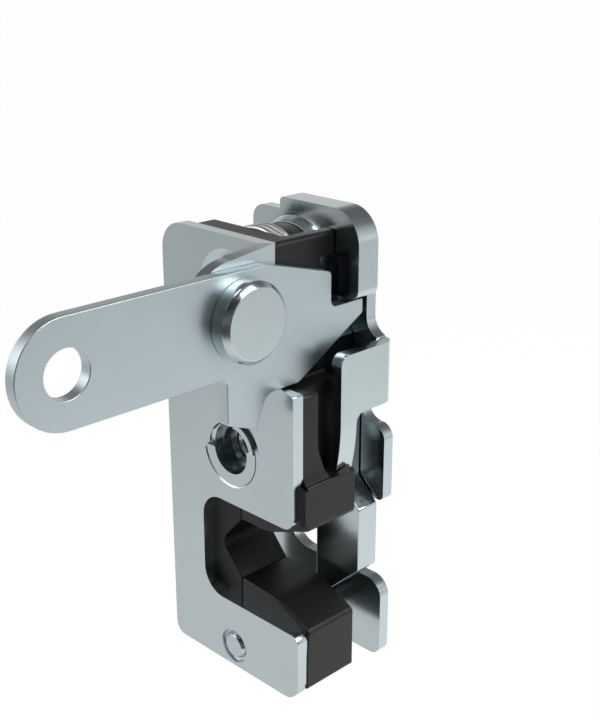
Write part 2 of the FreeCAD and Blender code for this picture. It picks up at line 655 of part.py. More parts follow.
def staked_rim(z):
    """Lower part of the rim, spread into the countersink."""
    recess = RECESS_RADIUS - (RECESS_RADIUS - BUSHING_NECK) * RIM_SINK / RECESS_DEPTH
    outer = recess - RIM_CLEARANCE
    rim = cone_y(0, z, outer, BUSHING_NECK, RIM_SINK, RECESS_DEPTH)
    for left, low in ((-outer, STAKE_LEFT), (0, STAKE_RIGHT)):
        rim = rim.cut(Part.makeBox(outer, RECESS_DEPTH, outer * 2, Vector(left, 0, z + low)))
    return rim


def lower_rivet():
    z = LOWER_RIVET_Z
    shoulder = disc_y(0, z, LOWER_RIVET_SHOULDER, SHEET, STACK)
    pin = disc_y(0, z, LOWER_RIVET_RADIUS, 0, BACK_FACE)
    front_end = cone_y(0, z, LOWER_RIVET_RADIUS, LOWER_RIVET_FOOT, -LOWER_RIVET_SHOW, PIN_RECESS_DEPTH)
    back_head = cone_y(0, z, LOWER_RIVET_HEAD, LOWER_RIVET_RADIUS, BACK_FACE, BACK_FACE + LOWER_RIVET_PROUD)
    return joined(shoulder, pin, front_end, back_head)


def washer(z, radius, front, back):
    """Plastic washer on a bushing."""
    return disc_y(0, z, radius, front, back).cut(disc_y(0, z, BUSHING_RADIUS, front - 1, back + 1))


def coil(z, radius, rear):
    """Torsion spring round a bushing, as many-sided sections joined along its helix."""
    mean = radius - WIRE / 2
    rise = COIL_PITCH / COIL_STEPS
    steps = round(COIL_TURNS * COIL_STEPS)
    first = rear - WIRE / 2 - steps * rise
    sections = []
    for i in range(steps + 1):
        turn = 2 * math.pi * i / COIL_STEPS
        out = Vector(math.cos(turn), 0, math.sin(turn))
        ahead = Vector(-mean * math.sin(turn), COIL_PITCH / (2 * math.pi), mean * math.cos(turn)).normalize()
        side = out.cross(ahead)
        centre = Vector(0, first + i * rise, z) + out * mean
        ring = []
        for k in range(WIRE_SIDES):
            angle = 2 * math.pi * k / WIRE_SIDES
            ring.append(centre + (out * math.cos(angle) + side * math.sin(angle)) * (WIRE / 2))
        sections.append(Part.makePolygon(ring + ring[:1]))
    return Part.makeLoft(sections, True, True)


def main():
    os.makedirs("parts", exist_ok=True)
    rear = SHEET + HOUSING_DEPTH
    boss_front = rotor_front() - BOSS_HEIGHT
    washer_rear = boss_front - SEAT_GAP
    washer_front = washer_rear - PAWL_WASHER_THICK
    nodes = {
        "front_plate": front_plate(),
        "back_plate": back_plate(),
        "housing": housing(),
        "bumper": bumper(),
        "rotor": rotor(),
        "pawl": pawl(),
        "release_lever": release_lever(),
        "lever_rivet": lever_rivet(),
        "rotor_bushing": bushing(0),
        "pawl_bushing": bushing(PIVOT_SPACING),
        "lower_rivet": lower_rivet(),
        "rotor_washer": washer(0, ROTOR_WASHER_RADIUS, rear, rotor_front() - SEAT_GAP),
        "pawl_washer": washer(PIVOT_SPACING, PAWL_WASHER_RADIUS, washer_front, washer_rear),
        "rotor_spring": coil(0, ROTOR_COIL_RADIUS, rear - SEAT_GAP),
        "pawl_spring": coil(PIVOT_SPACING, PAWL_COIL_RADIUS, washer_front - SEAT_GAP),
    }
    to_origin = Vector(0, -BACK_FACE / 2, 0)
    for name, shape in nodes.items():
        shape.translate(to_origin)
        shape.exportStep("parts/" + name + ".step")
        print(name, len(shape.Solids), round(shape.Volume, 1), shape.isValid())


main()
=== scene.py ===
# %% [markdown]
# # A rotary latch, dressed for its picture
# The latch already stands here as solid pieces at their real size: two stamped plates, a
# hook-shaped rotor, a pawl, a plastic housing with a soft insert, a release lever, rivets,
# bushings, washers and two springs. This notebook gives each piece the edges and the finish
# that a real one has, and sets up the light and the camera.
#
# The first step loads those solids. They are never moved: a piece that needs softer edges gets
# a copy, which then stands for it.

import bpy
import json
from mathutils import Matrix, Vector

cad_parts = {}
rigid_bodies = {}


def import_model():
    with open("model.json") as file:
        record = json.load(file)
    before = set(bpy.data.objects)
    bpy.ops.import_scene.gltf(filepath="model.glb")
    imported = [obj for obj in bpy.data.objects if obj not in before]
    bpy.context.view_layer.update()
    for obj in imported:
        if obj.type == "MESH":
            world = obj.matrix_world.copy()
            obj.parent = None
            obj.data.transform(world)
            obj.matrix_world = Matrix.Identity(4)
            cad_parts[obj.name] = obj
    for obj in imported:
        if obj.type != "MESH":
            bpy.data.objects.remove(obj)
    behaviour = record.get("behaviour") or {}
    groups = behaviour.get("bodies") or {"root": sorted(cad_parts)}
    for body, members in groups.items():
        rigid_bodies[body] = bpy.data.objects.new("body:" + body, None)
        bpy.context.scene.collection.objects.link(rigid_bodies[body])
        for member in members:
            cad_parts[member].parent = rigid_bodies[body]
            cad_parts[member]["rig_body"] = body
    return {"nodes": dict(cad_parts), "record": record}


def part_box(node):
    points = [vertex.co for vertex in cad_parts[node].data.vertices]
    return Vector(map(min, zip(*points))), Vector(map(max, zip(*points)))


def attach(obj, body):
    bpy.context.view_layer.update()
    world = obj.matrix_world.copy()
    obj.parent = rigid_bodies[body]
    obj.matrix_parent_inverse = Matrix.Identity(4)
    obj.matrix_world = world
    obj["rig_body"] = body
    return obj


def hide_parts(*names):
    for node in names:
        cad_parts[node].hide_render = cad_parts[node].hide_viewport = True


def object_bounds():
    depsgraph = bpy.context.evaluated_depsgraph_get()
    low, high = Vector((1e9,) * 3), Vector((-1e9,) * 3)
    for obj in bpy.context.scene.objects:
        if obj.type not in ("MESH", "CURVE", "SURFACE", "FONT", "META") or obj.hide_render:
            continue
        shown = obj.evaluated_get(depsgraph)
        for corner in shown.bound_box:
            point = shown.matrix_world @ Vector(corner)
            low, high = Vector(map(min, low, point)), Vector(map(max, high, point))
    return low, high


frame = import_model()
solids_low, solids_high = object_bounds()
print("solids:", sorted(frame["nodes"]))
print("box in mm:", [round(v * 1000, 1) for v in (*solids_low, *solids_high)])

# %% Import what the cells below use
import json
import math

import bmesh
import bpy
from mathutils import Matrix, Vector

MM = 0.001

# %% [markdown]
# ## Finishes
# Every finish is a small node tree on the Principled shader. Nothing real has one flat colour,
# so each finish starts from two close colours mixed by soft noise, with roughness that varies a
# little and a fine bump. The noise reads Object coordinates, which are metres on these pieces,
# so a scale of 1000 makes grains of about a millimetre. An image of real metal would do too,
# but noise has no seams and no edges, and it stays sharp from close by.

# %% A helper for finishes: mottled colour, uneven roughness, fine bump
BUMP_STRENGTH = 0.15
NOISE_LOW, NOISE_HIGH = 0.3, 0.7


def finish(name, dark, light, roughness, metallic, patch, grain, height, spread, specular=0.5):
    """Principled finish that varies softly over patches and carries a fine grain."""
    made = bpy.data.materials.new(name)
    made.use_nodes = True
    tree = made.node_tree
    shader = tree.nodes["Principled BSDF"]
    shader.inputs["Metallic"].default_value = metallic
    shader.inputs["Specular IOR Level"].default_value = specular
    place = tree.nodes.new("ShaderNodeTexCoord")

    def noise(scale, detail):
        node = tree.nodes.new("ShaderNodeTexNoise")
        node.inputs["Scale"].default_value = scale
        node.inputs["Detail"].default_value = detail
        tree.links.new(place.outputs["Object"], node.inputs["Vector"])
        return node.outputs["Fac"]

    def ranged(source, low, high):
        node = tree.nodes.new("ShaderNodeMapRange")
        node.inputs["From Min"].default_value = NOISE_LOW
        node.inputs["From Max"].default_value = NOISE_HIGH
        node.inputs["To Min"].default_value = low
        node.inputs["To Max"].default_value = high
        tree.links.new(source, node.inputs["Value"])
        return node.outputs["Result"]

    patches = noise(patch, 3)
    grains = noise(grain, 2)
    colour = tree.nodes.new("ShaderNodeMix")
    colour.data_type = "RGBA"
    colour.inputs["A"].default_value = (*dark, 1)
    colour.inputs["B"].default_value = (*light, 1)
    tree.links.new(ranged(patches, 0, 1), colour.inputs["Factor"])
    tree.links.new(colour.outputs["Result"], shader.inputs["Base Color"])
    tree.links.new(ranged(grains, roughness - spread, roughness + spread), shader.inputs["Roughness"])
    bump = tree.nodes.new("ShaderNodeBump")
    bump.inputs["Strength"].default_value = BUMP_STRENGTH
    bump.inputs["Distance"].default_value = height
    tree.links.new(grains, bump.inputs["Height"])
    tree.links.new(bump.outputs["Normal"], shader.inputs["Normal"])
    print("finish", name, "roughness", roughness, "metallic", metallic)
    return made


# %% [markdown]
# The metal is zinc plated steel: a cool blue-grey with hardly any grain. The front plate is
# satin, the lever is duller from handling, and the turned and inner pieces are smoother. A darker
# copy of the zinc is painted shade on the wall round the bushings' mouth and the floor of their
# notch. They differ in colour and in how dull they are, so the rest of the zinc is written once.

# %% Zinc plated steel in three states, and a darker copy as painted shade
ZINC = {"metallic": 1.0, "patch": 60, "grain": 2500, "height": 0.0006 * MM, "spread": 0.03}
SHEET_ZINC = finish("zinc plated sheet", (0.55, 0.625, 0.645), (0.59, 0.665, 0.685), 0.22, **ZINC)
SMOOTH_ZINC = finish("smooth zinc plated steel", (0.54, 0.615, 0.635), (0.58, 0.655, 0.675), 0.18, **ZINC)
HANDLED_ZINC = finish("handled zinc plated steel", (0.545, 0.63, 0.655), (0.575, 0.66, 0.685), 0.38, **ZINC)
# a darker copy of the zinc, used as painted shade in the bushings' mouth and notch
PAINTED_SHADE_ZINC = finish("zinc darkened as painted shade", (0.27, 0.31, 0.325), (0.33, 0.375, 0.39), 0.22, **ZINC)

# %% [markdown]
# The plastic and the soft insert are almost black, and differ in how dull they are. The spring
# wire is drawn steel, brighter than the zinc. The finishes go into a table under the names of
# the record's slots, and every solid gets the finish of its slot.

# %% Plastic, soft insert and spring wire, and the table of slots
BLACK_PLASTIC = finish("black plastic", (0.0085, 0.0082, 0.0082), (0.0110, 0.0105, 0.0105), 0.40,
                       metallic=0.0, patch=90, grain=4000, height=0.006 * MM, spread=0.04, specular=0.42)
SOFT_INSERT = finish("black soft insert", (0.007, 0.007, 0.007), (0.009, 0.009, 0.009), 0.50,
                     metallic=0.0, patch=90, grain=3000, height=0.008 * MM, spread=0.04, specular=0.4)
DRAWN_STEEL = finish("drawn spring steel", (0.78, 0.75, 0.75), (0.85, 0.82, 0.82), 0.34,
                     metallic=1.0, patch=200, grain=3000, height=0.001 * MM, spread=0.03)
FINISHES = {"zinc_steel": SHEET_ZINC, "black_plastic": BLACK_PLASTIC, "soft_insert": SOFT_INSERT,
            "spring_steel": DRAWN_STEEL}
SLOT_OF = {part["node"]: part["material_slot"] for part in frame["record"]["subparts"]}
for node, solid in frame["nodes"].items():
    solid.material_slots[0].material = FINISHES[SLOT_OF[node]]
print("solids with a finish:", len(SLOT_OF))

# %% [markdown]
# ## Copies with broken edges
# A stamped or moulded piece never has a knife edge. Its edges are broken by a tenth or two of a
# millimetre, and that thin round is what catches the light. The solids arrive as loose
# triangles, so each is copied, its doubles are merged and its flat faces are made whole. Then
# its sharp edges are bevelled. A bevel modifier could do this too, but the operator lets us
# choose the edges, so that one piece can have crisp edges and soft ones.

# %% Helpers: copy a solid and round some of its edges
# Two places within SAME of each other count as one, points within DOUBLE are merged, and edges
# shorter than SLIVER are dropped.
SAME = 0.01 * MM
DOUBLE = 0.001 * MM
SLIVER = 0.0001 * MM
FLAT = math.radians(0.3)


def copy_of(node):
    """Closed mesh of a solid, with its flat faces whole."""
    shape = bmesh.new()
    shape.from_mesh(frame["nodes"][node].data)
    bmesh.ops.remove_doubles(shape, verts=shape.verts, dist=DOUBLE)
    bmesh.ops.dissolve_limit(shape, angle_limit=FLAT, use_dissolve_boundaries=False,
                             verts=shape.verts, edges=shape.edges)
    return shape


def sharp_edges(shape, degrees=30):
    """Edges where two faces meet at more than the given angle."""
    limit = math.radians(degrees)
    return [e for e in shape.edges if len(e.link_faces) == 2 and e.calc_face_angle() > limit]


def soften(shape, edges, width, segments=2, clamp=True):
    """Round the given edges by width, in metres; clamp keeps the width within the shortest face."""
    bmesh.ops.bevel(shape, geom=edges, offset=width, offset_type="OFFSET", segments=segments, profile=0.5,
                    affect="EDGES", material=-1, clamp_overlap=clamp)
    bmesh.ops.dissolve_degenerate(shape, dist=SLIVER, edges=shape.edges)


print("flat faces are joined up to", round(math.degrees(FLAT), 1), "degrees")

# %% [markdown]
# A finished copy becomes a piece. It rides the same body as its solid, so it moves with it, and
# it takes the solid's place in the picture. Smooth shading with weighted normals keeps the large
# faces flat and lets only the thin rounds bend the light.

# %% Helpers: make a copy stand for its solid
def dressed(shape, node, look=None):
    """Piece that stands for a solid, with its finish and its body."""
    mesh = bpy.data.meshes.new(node + "_finish")
    shape.to_mesh(mesh)
    shape.free()
    for face in mesh.polygons:
        face.use_smooth = True
    mesh.materials.append(look or FINISHES[SLOT_OF[node]])
    piece = bpy.data.objects.new(node + "_finish", mesh)
    bpy.context.scene.collection.objects.link(piece)
    piece.modifiers.new("even shading", "WEIGHTED_NORMAL").keep_sharp = True
    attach(piece, frame["nodes"][node]["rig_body"])
    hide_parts(node)
    print(piece.name, len(mesh.polygons), "faces")
    return piece


def edged(node, width, look=None):
    """Piece with the shape of its solid and every sharp edge rounded."""
    shape = copy_of(node)
    soften(shape, sharp_edges(shape), width)
    dressed(shape, node, look)


# %% [markdown]
# ## Front plate
# The plate is stamped from sheet, and the flange that carries the lever is bent forward from its
# right edge. The real bend is tighter than the solid's. An arc that rounds a corner keeps
# touching the same two faces when its points are scaled about that corner, so that is how both
# arcs of the bend are tightened. No face is added or lost, and the mesh stays closed.

# %% A helper that tightens a bend
def change_round(verts, corner, centre, factor):
    """Scale the points of an arc about the sharp corner that it rounds; None marks the free axis."""
    axes = [axis for axis in range(3) if corner[axis] is not None]
    radius = max(abs(corner[axis] - centre[axis]) for axis in axes)
    moved = 0
    for vert in verts:
        reach = math.hypot(*(vert.co[axis] - centre[axis] for axis in axes))
        on_arc = abs(reach - radius) < SAME
        in_corner = all((vert.co[axis] - centre[axis]) * (corner[axis] - centre[axis]) > -SAME * radius
                        for axis in axes)
        if on_arc and in_corner:
            for axis in axes:
                vert.co[axis] = corner[axis] + (vert.co[axis] - corner[axis]) * factor
            moved += 1
    print("round of", round(radius / MM, 2), "mm scaled by", factor, "-", moved, "points")


# %% Front plate with a tight bend
SHEET = 2.0 * MM
PLATE_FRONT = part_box("front_plate")[1].y - SHEET
FLANGE_LEFT = 6.5 * MM
SHOULDER = 12.7 * MM
INNER_ROUND, INNER_TIGHTENED = 1.0 * MM, 0.1
OUTER_ROUND, OUTER_TIGHTENED = 3.0 * MM, 0.12
front_plate = copy_of("front_plate")
flange = [vert for vert in front_plate.verts if vert.co.z > SHOULDER - SAME]
for side, radius, factor in ((0, INNER_ROUND, INNER_TIGHTENED), (SHEET, OUTER_ROUND, OUTER_TIGHTENED)):
    corner = (FLANGE_LEFT + side, PLATE_FRONT + side, None)
    centre = (corner[0] - radius, corner[1] - radius, None)
    change_round(flange, corner, centre, factor)

# %% [markdown]
# The countersink of the lower bushing is pressed only where the bushing's rim is staked, so its
# upper left is drawn in to the hole. Then the plate's edges are broken.

# %% Countersink and edges of the front plate
COUNTERSINK = 5.9 * MM
NECK_HOLE = 4.75 * MM
UNPRESSED_RIGHT = 0.5 * MM
UNPRESSED_BELOW = -0.25 * MM
STAMPED_EDGE = 0.15 * MM
unpressed = [vert for vert in front_plate.verts
             if abs(vert.co.y - PLATE_FRONT) < SAME
             and vert.co.x < UNPRESSED_RIGHT and vert.co.z > UNPRESSED_BELOW
             and abs(math.hypot(vert.co.x, vert.co.z) - COUNTERSINK) < 2 * SAME]
for vert in unpressed:
    vert.co.x *= NECK_HOLE / COUNTERSINK
    vert.co.z *= NECK_HOLE / COUNTERSINK
print("countersink closed on its upper left:", len(unpressed), "points")
soften(front_plate, sharp_edges(front_plate), STAMPED_EDGE)
dressed(front_plate, "front_plate")

# %% [markdown]
# ## Back plate, rotor and lever
# These are stamped as well, and keep the shape of their solids. They differ in finish: handling
# has dulled the lever, while the back plate and the rotor are smooth.

# %% Back plate, rotor and release lever
for node, look in (("back_plate", SMOOTH_ZINC), ("rotor", SMOOTH_ZINC), ("release_lever", HANDLED_ZINC)):
    edged(node, STAMPED_EDGE, look)

# %% [markdown]
# ## Pawl
# The pawl has a low boss round its bushing. On the real one the boss is cut flat further in, so
# that it doesn't show beside the housing's arm. The copy is cut with a plane just in front of
# the pawl's face and closed, and the boss is turned anew: its section is spun round the pivot,
# and a second plane cuts the flat. Moving the old boss's points would be quicker, but only a cut
# gives the new flat a clean edge.

# %% Helpers: turn a ring, cut with a plane, join two shells
ROUND_STEPS = 96


def turned_ring(corners, height):
    """Ring about a line along Y, from its section's corners as radius and depth."""
    ring = bmesh.new()
    points = [ring.verts.new((radius, depth, height)) for radius, depth in corners]
    for i, point in enumerate(points):
        ring.edges.new((point, points[(i + 1) % len(points)]))
    bmesh.ops.spin(ring, geom=ring.verts[:] + ring.edges[:], cent=(0, 0, height), axis=(0, 1, 0),
                   angle=2 * math.pi, steps=ROUND_STEPS, use_merge=True, use_duplicate=False)
    bmesh.ops.remove_doubles(ring, verts=ring.verts, dist=DOUBLE)
    bmesh.ops.recalc_face_normals(ring, faces=ring.faces)
    return ring


def cut(shape, point, normal):
    """Cut away what lies beyond a plane, and close the cut."""
    made = bmesh.ops.bisect_plane(shape, geom=shape.verts[:] + shape.edges[:] + shape.faces[:], dist=SLIVER,
                                  plane_co=point, plane_no=normal, clear_outer=True)
    rim = [e for e in made["geom_cut"] if isinstance(e, bmesh.types.BMEdge) and len(e.link_faces) == 1]
    bmesh.ops.triangle_fill(shape, use_beauty=True, use_dissolve=True, edges=rim, normal=normal)
    print("cut closed:", not any(len(e.link_faces) != 2 for e in shape.edges))


def add_shell(shape, shell):
    """Put a second closed shell into a mesh."""
    mesh = bpy.data.meshes.new("shell")
    shell.to_mesh(mesh)
    shell.free()
    shape.from_mesh(mesh)
    bpy.data.meshes.remove(mesh)


# %% Pawl with a turned boss
PIVOT_HEIGHT = 26 * MM
PAWL_FACE = 3.9 * MM
BOSS_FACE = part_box("pawl")[0].y
BOSS_BORE = 5.25 * MM
BOSS_RIM = 7.85 * MM
BOSS_FOOT = 8.6 * MM
BOSS_SUNK = 0.1 * MM
BOSS_FLAT = 5.6 * MM
pawl = copy_of("pawl")
cut(pawl, (0, PAWL_FACE - SAME, 0), (0, -1, 0))
soften(pawl, sharp_edges(pawl), STAMPED_EDGE)
boss = turned_ring([(BOSS_BORE, BOSS_FACE), (BOSS_RIM, BOSS_FACE), (BOSS_FOOT, PAWL_FACE + BOSS_SUNK),
                    (BOSS_BORE, PAWL_FACE + BOSS_SUNK)], PIVOT_HEIGHT)
cut(boss, (BOSS_FLAT, 0, 0), (1, 0, 0))
soften(boss, sharp_edges(boss), STAMPED_EDGE)
add_shell(pawl, boss)
dressed(pawl, "pawl", SMOOTH_ZINC)

# %% [markdown]
# ## Housing
# Moulded plastic has rounder edges than stamped sheet. The block beside the plates falls away in
# a slope, which is made here by raising the inner corners of its ledge and of the lip that wraps
# the plate's edge. The block's rear side leans by 2.2 mm over a height of 5.45 mm, so the corner
# there also moves forward.

# %% The slope of the housing's block
HOUSING_FRONT = PLATE_FRONT + SHEET
HOUSING_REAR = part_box("housing")[1].y
INNER_SIDE = 13.8 * MM
BLOCK_TOP = -1.7 * MM
LEDGE_REAR = -3 * MM
LEDGE_RISE = 1.2 * MM
REAR_LEAN = 2.2 / 5.45
LIP_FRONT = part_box("housing")[0].y
LIP_TOP = -2.2 * MM
LIP_RISE = 0.9 * MM


def points_at(shape, x, y, z):
    """Points at a place; None leaves an axis free."""
    place = (x, y, z)
    return [vert for vert in shape.verts
            if all(p is None or abs(vert.co[axis] - p) < SAME for axis, p in enumerate(place))]


housing = copy_of("housing")
ledge = [vert for vert in points_at(housing, INNER_SIDE, None, BLOCK_TOP) if vert.co.y < LEDGE_REAR]
for vert in ledge:
    vert.co.z += LEDGE_RISE
    if vert.co.y > HOUSING_FRONT + SAME:
        vert.co.y -= LEDGE_RISE * REAR_LEAN
lip = points_at(housing, INNER_SIDE, LIP_FRONT, LIP_TOP)
bmesh.ops.translate(housing, verts=lip, vec=(0, 0, LIP_RISE))
print("block's slope:", len(ledge), "points of the ledge and", len(lip), "of the lip raised")

# %% [markdown]
# The rims of the mouth are the softest edges, because the striker slides over them. They are
# found by their place: sharp edges within the mouth that lie in the housing's front or rear
# face. They are rounded first and wide, and then every edge that is still sharp gets a narrow
# round.

# %% Rims of the mouth and edges of the housing
MOUTH_BOTTOM = -28 * MM
MOUTH_TOP = -8.5 * MM
MOUTH_LEFT = 0.3 * MM
MOUTH_SHARP = 50
MOUTH_EDGE = 0.5 * MM
MOULDED_EDGE = 0.2 * MM


def lies(edge, axis, place):
    """Whether both ends of an edge have one coordinate in common with a place."""
    return all(abs(vert.co[axis] - place) < SAME for vert in edge.verts)


mouth = []
for edge in sharp_edges(housing, MOUTH_SHARP):
    middle = (edge.verts[0].co + edge.verts[1].co) / 2
    in_mouth = MOUTH_BOTTOM < middle.z < MOUTH_TOP and middle.x > MOUTH_LEFT
    if in_mouth and (lies(edge, 1, HOUSING_FRONT) or lies(edge, 1, HOUSING_REAR)):
        mouth.append(edge)
print("mouth:", len(mouth), "edges rounded wide")
soften(housing, mouth, MOUTH_EDGE, segments=4, clamp=False)
soften(housing, sharp_edges(housing), MOULDED_EDGE)
dressed(housing, "housing")

# %% [markdown]
# ## Soft insert
# The insert behind the mouth is a separate moulding that takes the striker's blow. It is set
# back a little where it meets the housing, which shows as a dark seam.

# %% Soft insert
SEAM = 0.25 * MM
INSERT_EDGE = MOULDED_EDGE / 2
insert = copy_of("bumper")
seam = points_at(insert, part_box("bumper")[1].x, None, None)
bmesh.ops.translate(insert, verts=seam, vec=(-SEAM, 0, 0))
soften(insert, sharp_edges(insert), INSERT_EDGE)
dressed(insert, "bumper")

# %% [markdown]
# ## Washers
# The collar behind the pawl's spring and the washer under the rotor are plain moulded rings.

# %% Washers
for node in ("pawl_washer", "rotor_washer"):
    edged(node, MOULDED_EDGE)

# %% [markdown]
# ## Bushings
# Both bushings are threaded for an M6 screw. The solid has a plain bore at the thread's inner
# radius. Here the bore is opened to the thread's outer radius, and the thread is a ridge wound
# along it: the ridge's section is spun round the axis with a small step along it. A bump could
# fake the thread, but not where it is cut off at the mouth.

# %% A helper that winds the thread
THREAD_INNER = 2.5 * MM
THREAD_OUTER = 3.0 * MM
THREAD_SUNK = 0.04 * MM
THREAD_PITCH = 1.0 * MM
THREAD_LENGTH = 12.6 * MM
THREAD_STEPS = 36
FOOT_HALF = 0.44 * THREAD_PITCH
CREST_HALF = 0.12 * THREAD_PITCH
END_GAP = 0.46 * THREAD_PITCH


def thread(height):
    """Ridge of an inner thread, closed at both ends."""
    start = END_GAP - THREAD_LENGTH / 2
    turns = (THREAD_LENGTH - 2 * END_GAP) / THREAD_PITCH
    root = THREAD_OUTER + THREAD_SUNK
    corners = [(root, -FOOT_HALF), (THREAD_INNER, -CREST_HALF),
               (THREAD_INNER, CREST_HALF), (root, FOOT_HALF)]
    ridge = bmesh.new()
    points = [ridge.verts.new((radius, start + along, height)) for radius, along in corners]
    for i, point in enumerate(points):
        ridge.edges.new((point, points[(i + 1) % len(points)]))
    bmesh.ops.spin(ridge, geom=ridge.verts[:] + ridge.edges[:], cent=(0, 0, height), axis=(0, -1, 0),
                   dvec=(0, THREAD_PITCH / THREAD_STEPS, 0), angle=2 * math.pi * turns,
                   steps=round(turns * THREAD_STEPS), use_merge=False, use_duplicate=False)
    bmesh.ops.edgeloop_fill(ridge, edges=[e for e in ridge.edges if len(e.link_faces) == 1])
    bmesh.ops.recalc_face_normals(ridge, faces=ridge.faces)
    for edge in sharp_edges(ridge):
        edge.smooth = False
    print("thread of", round(turns, 2), "turns")
    return ridge


# %% [markdown]
# The wall round the thread's mouth and the floor of the notch lie in shade, so those faces get
# the darker zinc as painted shade. They are picked by their place once the edges are rounded.

# %% Bushings with their thread
TURNED_EDGE = 0.12 * MM
MOUTH_RADIUS = 3.65 * MM
NOTCH_FLOOR = -8.4 * MM
ON_WALL = 0.03 * MM
ON_FLOOR = 0.1 * MM


def open_bore(shape, height):
    """Widen the plain bore to the thread's outer radius."""
    for vert in shape.verts:
        out = math.hypot(vert.co.x, vert.co.z - height)
        if abs(out - THREAD_INNER) < SAME:
            vert.co.x *= THREAD_OUTER / out
            vert.co.z = height + (vert.co.z - height) * THREAD_OUTER / out


def paint_shade_in_mouth(piece, height):
    """Paint shade on the mouth's wall and the notch's floor with the darker zinc."""
    piece.data.materials.append(PAINTED_SHADE_ZINC)
    for face in piece.data.polygons:
        corners = [piece.data.vertices[i].co for i in face.vertices]
        out = [math.hypot(co.x, co.z - height) for co in corners]
        on_wall = abs(min(out) - MOUTH_RADIUS) < ON_WALL and max(out) < MOUTH_RADIUS + ON_WALL
        in_notch = all(abs(co.y - NOTCH_FLOOR) < ON_FLOOR for co in corners)
        if on_wall or in_notch:
            face.material_index = 1


for node, height in (("rotor_bushing", 0.0), ("pawl_bushing", PIVOT_HEIGHT)):
    bushing = copy_of(node)
    open_bore(bushing, height)
    soften(bushing, sharp_edges(bushing), TURNED_EDGE)
    add_shell(bushing, thread(height))
    # painted shade on the mouth's wall and the notch's floor
    paint_shade_in_mouth(dressed(bushing, node, SMOOTH_ZINC), height)

# %% [markdown]
# ## Rivets
# The lever turns on a large headed rivet, and a small one holds the plates together below. Their
# edges are a little crisper than the sheet's.

# %% Rivets
for node in ("lever_rivet", "lower_rivet"):
    edged(node, TURNED_EDGE, SMOOTH_ZINC)

# %% [markdown]
# ## Springs
# Each spring is round wire wound on a helix. A circle of wire, spun about the spring's axis
# with a small step along it, leaves exactly that shape. The circle starts where the solid
# spring starts, so the smooth spring fills the same place.

# %% Wind both springs
WIRE = 1.0 * MM
WIRE_SIDES = 16
PITCH = 1.04 * MM
TURNS = 2.5
STEPS_A_TURN = 48


def wound(node, height):
    """Round wire on a helix that fills the place of a solid spring."""
    low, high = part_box(node)
    mean_radius = (high.x - low.x) / 2 - WIRE / 2
    start = Vector((mean_radius, low.y + WIRE / 2, height))
    spring = bmesh.new()
    bmesh.ops.create_circle(spring, segments=WIRE_SIDES, radius=WIRE / 2, matrix=Matrix.Translation(start))
    bmesh.ops.spin(spring, geom=spring.edges[:], cent=(0, 0, height), axis=(0, -1, 0),
                   dvec=(0, PITCH / STEPS_A_TURN, 0), angle=2 * math.pi * TURNS,
                   steps=round(TURNS * STEPS_A_TURN), use_merge=False, use_duplicate=False)
    bmesh.ops.edgeloop_fill(spring, edges=[e for e in spring.edges if len(e.link_faces) == 1])
    bmesh.ops.recalc_face_normals(spring, faces=spring.faces)
    return spring


for node, height in (("rotor_spring", 0.0), ("pawl_spring", PIVOT_HEIGHT)):
    dressed(wound(node, height), node)

# %% [markdown]
# ## Floor
# The picture shows the latch on pure white, with the soft grey reflections of a studio. The
# floor lies well below the latch and reaches far past the picture, so that its edge never shows.

# %% Floor, one flat face
FLOOR_BELOW = 120 * MM
FLOOR_REACH = 6.0
floor_shape = bmesh.new()
bmesh.ops.create_grid(floor_shape, x_segments=1, y_segments=1, size=FLOOR_REACH,
                      matrix=Matrix.Translation((0, 0, solids_low.z - FLOOR_BELOW)))
floor_mesh = bpy.data.meshes.new("floor")
floor_shape.to_mesh(floor_mesh)
floor_shape.free()
floor = bpy.data.objects.new("floor", floor_mesh)
bpy.context.scene.collection.objects.link(floor)
print("floor", round(FLOOR_BELOW / MM), "mm below the latch")

# %% Helpers for node trees
def add(tree, kind, **settings):
    """Node of a kind, with some of its settings."""
    node = tree.nodes.new("ShaderNode" + kind)
    for name, value in settings.items():
        setattr(node, name, value)
    return node


def math_of(tree, operation, first, second=0):
    """Math node on two sockets or numbers."""
    node = add(tree, "Math", operation=operation)
    for socket, value in zip(node.inputs, (first, second)):
        if isinstance(value, (int, float)):
            socket.default_value = value
        else:
            tree.links.new(value, socket)
    return node.outputs[0]


def ramp(tree, value, span, levels):
    """Smooth step from the first level to the second over a span."""
    node = add(tree, "MapRange", interpolation_type="SMOOTHSTEP")
    tree.links.new(value, node.inputs["Value"])
    for name, number in zip(("From Min", "From Max", "To Min", "To Max"), (*span, *levels)):
        node.inputs[name].default_value = number
    return node.outputs["Result"]


# %% [markdown]
# The metal mirrors the floor, so what the floor looks like in a mirror shapes every face. Its
# brightness there is painted by place: painted light on the picture's right and near the latch,
# painted shade towards the viewer, and a painted shadow right below the latch. It is written on
# Object coordinates, so it stays where it is when the camera moves.

# %% The floor's brightness in reflections, by its place in metres
RIGHT_SPAN, RIGHT_LEVELS = (-0.20, 0.25), (0.76, 1.03)
FAR_SPAN, FAR_LEVELS = (0.20, 0.75), (1.0, 0.70)
VIEWER_SPAN, VIEWER_LEVELS = (0.20, 0.42), (1.0, 0.15)
SHADOW_SPAN, SHADOW_LEVELS = (0.03, 0.12), (0.75, 1.0)
HALF = math.sqrt(0.5)
white = bpy.data.materials.new("white floor")
white.use_nodes = True
tree = white.node_tree
tree.nodes.clear()
place = add(tree, "SeparateXYZ")
tree.links.new(add(tree, "TexCoord").outputs["Object"], place.inputs[0])
x, y = place.outputs["X"], place.outputs["Y"]
to_right = math_of(tree, "MULTIPLY", math_of(tree, "ADD", x, y), HALF)
to_viewer = math_of(tree, "MULTIPLY", math_of(tree, "SUBTRACT", x, y), HALF)
squares = math_of(tree, "ADD", math_of(tree, "MULTIPLY", x, x), math_of(tree, "MULTIPLY", y, y))
